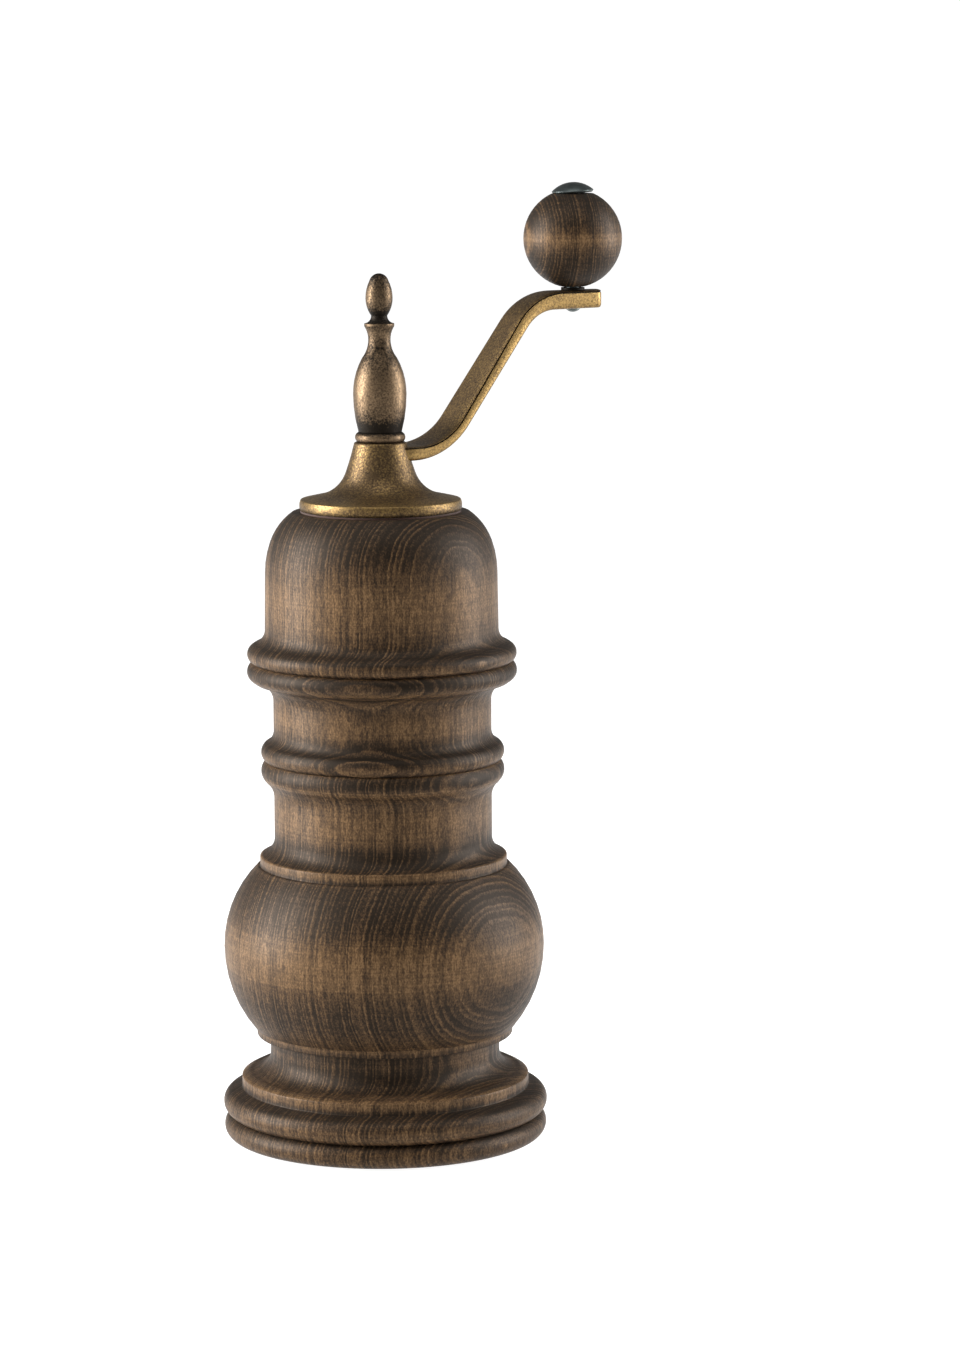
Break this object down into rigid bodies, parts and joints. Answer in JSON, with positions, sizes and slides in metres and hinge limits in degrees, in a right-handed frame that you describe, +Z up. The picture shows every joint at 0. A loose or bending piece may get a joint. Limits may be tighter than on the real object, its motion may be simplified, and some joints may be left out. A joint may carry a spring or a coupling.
{
  "type": "burr coffee grinder",
  "caption": "Upright hand coffee grinder: turned wooden base, barrel and domed head over a conical burr mill, with a cast bell, swept crank arm, ball knob and finial.",
  "frame": {"origin": "centre of the resting face, on the mill's turning axis", "axes": "+Z up along the turning axis, +X along the crank arm at rest"},
  "size_m": [0.132, 0.098, 0.2864],
  "materials": {
    "stained_beech": "satin stain",
    "antique_bronze": "antiqued",
    "turned_bronze": "antiqued, turned",
    "gunmetal": "satin",
    "bright_steel": "turned",
    "burr_steel": "hardened",
    "bearing_brass": "turned",
    "housing_iron": "cast",
    "felt": "pressed felt",
    "fibre": "vulcanised fibre"
  },
  "bodies": {
    "base": {"felt_pad": "felt", "base_body": "stained_beech"},
    "barrel": {"barrel": "stained_beech", "upper_bridge": "bright_steel", "bridge_bush": "bearing_brass", "bridge_screw_1": "bright_steel", "bridge_screw_2": "bright_steel", "burr_housing": "housing_iron", "spider_bush": "bearing_brass", "burr_retainer": "bright_steel", "ring_burr": "burr_steel", "housing_screw_1": "bright_steel", "housing_screw_2": "bright_steel", "housing_screw_3": "bright_steel", "retainer_screw_1": "bright_steel", "retainer_screw_2": "bright_steel", "retainer_screw_3": "bright_steel"},
    "head": {"head_dome": "stained_beech", "head_bush": "bearing_brass", "bell_washer": "fibre"},
    "crank": {"crank_casting": "antique_bronze", "knob_washer": "gunmetal", "knob_rivet": "gunmetal"},
    "knob": {"knob_ball": "stained_beech"},
    "finial_washer": {"finial_collar": "turned_bronze"},
    "finial": {"finial": "turned_bronze"},
    "shaft": {"drive_shaft": "bright_steel", "thrust_collar": "bright_steel", "collar_pin": "bright_steel", "end_clip": "bright_steel", "thrust_washer": "bright_steel", "burr_spring": "bright_steel"},
    "cone": {"cone_burr": "burr_steel", "nut_washer": "bright_steel"},
    "adjuster": {"adjusting_nut": "bearing_brass"}
  },
  "joints": [
    {"name": "barrel_lift", "type": "slide", "parent": "base", "child": "barrel", "axis": [0, 0, 1], "range_m": [0, 0.06]},
    {"name": "head_lift", "type": "slide", "parent": "barrel", "child": "head", "axis": [0, 0, 1], "range_m": [0, 0.08]},
    {"name": "crank_turn", "type": "hinge", "parent": "head", "child": "crank", "pos_m": [0, 0, 0.1907], "axis": [0, 0, 1], "continuous": true},
    {"name": "shaft_spin", "type": "hinge", "parent": "barrel", "child": "shaft", "pos_m": [0, 0, 0.124], "axis": [0, 0, 1], "continuous": true},
    {"name": "knob_spin", "type": "hinge", "parent": "crank", "child": "knob", "pos_m": [0.068, 0, 0.2693], "axis": [0, 0, 1], "continuous": true},
    {"name": "finial_rise", "type": "slide", "parent": "crank", "child": "finial_washer", "axis": [0, 0, 1], "range_m": [0, 0.003]},
    {"name": "finial_unscrew", "type": "hinge", "parent": "finial_washer", "child": "finial", "pos_m": [0, 0, 0.214], "axis": [0, 0, 1], "range_deg": [0, 1080]},
    {"name": "burr_adjust_slide", "type": "slide", "parent": "shaft", "child": "cone", "axis": [0, 0, 1], "range_m": [-0.00125, 0.0005], "deforming": ["burr_spring"]},
    {"name": "grind_adjust", "type": "hinge", "parent": "cone", "child": "adjuster", "pos_m": [0, 0, 0.089], "axis": [0, 0, 1], "range_deg": [-360, 144]}
  ],
  "couplings": [
    {"joint": "shaft_spin", "follows": "crank_turn", "ratio": 1},
    {"joint": "finial_unscrew", "follows": "finial_rise", "rad_per_m": 6283.2},
    {"joint": "grind_adjust", "follows": "burr_adjust_slide", "rad_per_m": 5026.5}
  ]
}
